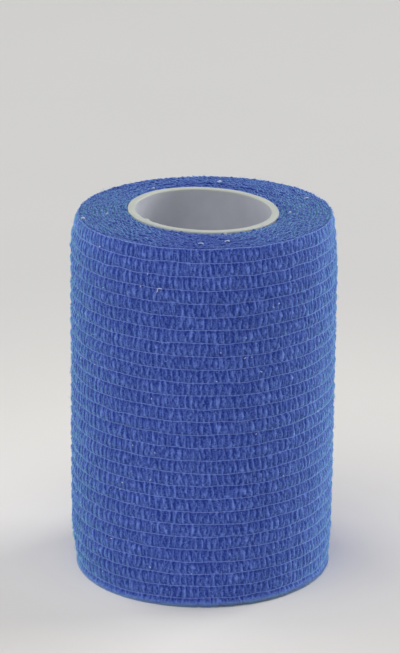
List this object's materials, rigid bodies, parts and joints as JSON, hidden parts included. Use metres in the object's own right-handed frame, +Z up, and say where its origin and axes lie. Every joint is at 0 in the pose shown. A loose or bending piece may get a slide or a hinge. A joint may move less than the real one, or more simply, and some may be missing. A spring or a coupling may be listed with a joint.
{
  "type": "cohesive bandage roll",
  "caption": "Roll of crinkled self-clinging elastic bandage wound on a plastic tube, standing on its flat end.",
  "frame": {"origin": "middle of the flat end that the roll stands on", "axes": "+Z up along the roll's winding axis, which is its longest side; the cloth's outer end lies towards +Y"},
  "size_m": [0.0534, 0.0534, 0.0755],
  "materials": {
    "crinkled_nonwoven": "matt crinkled nonwoven with fine elastic threads",
    "moulded_tube": "satin white, smooth moulded"
  },
  "bodies": {
    "root": {"bandage_roll": "crinkled_nonwoven", "core_tube": "moulded_tube"}
  },
  "joints": []
}
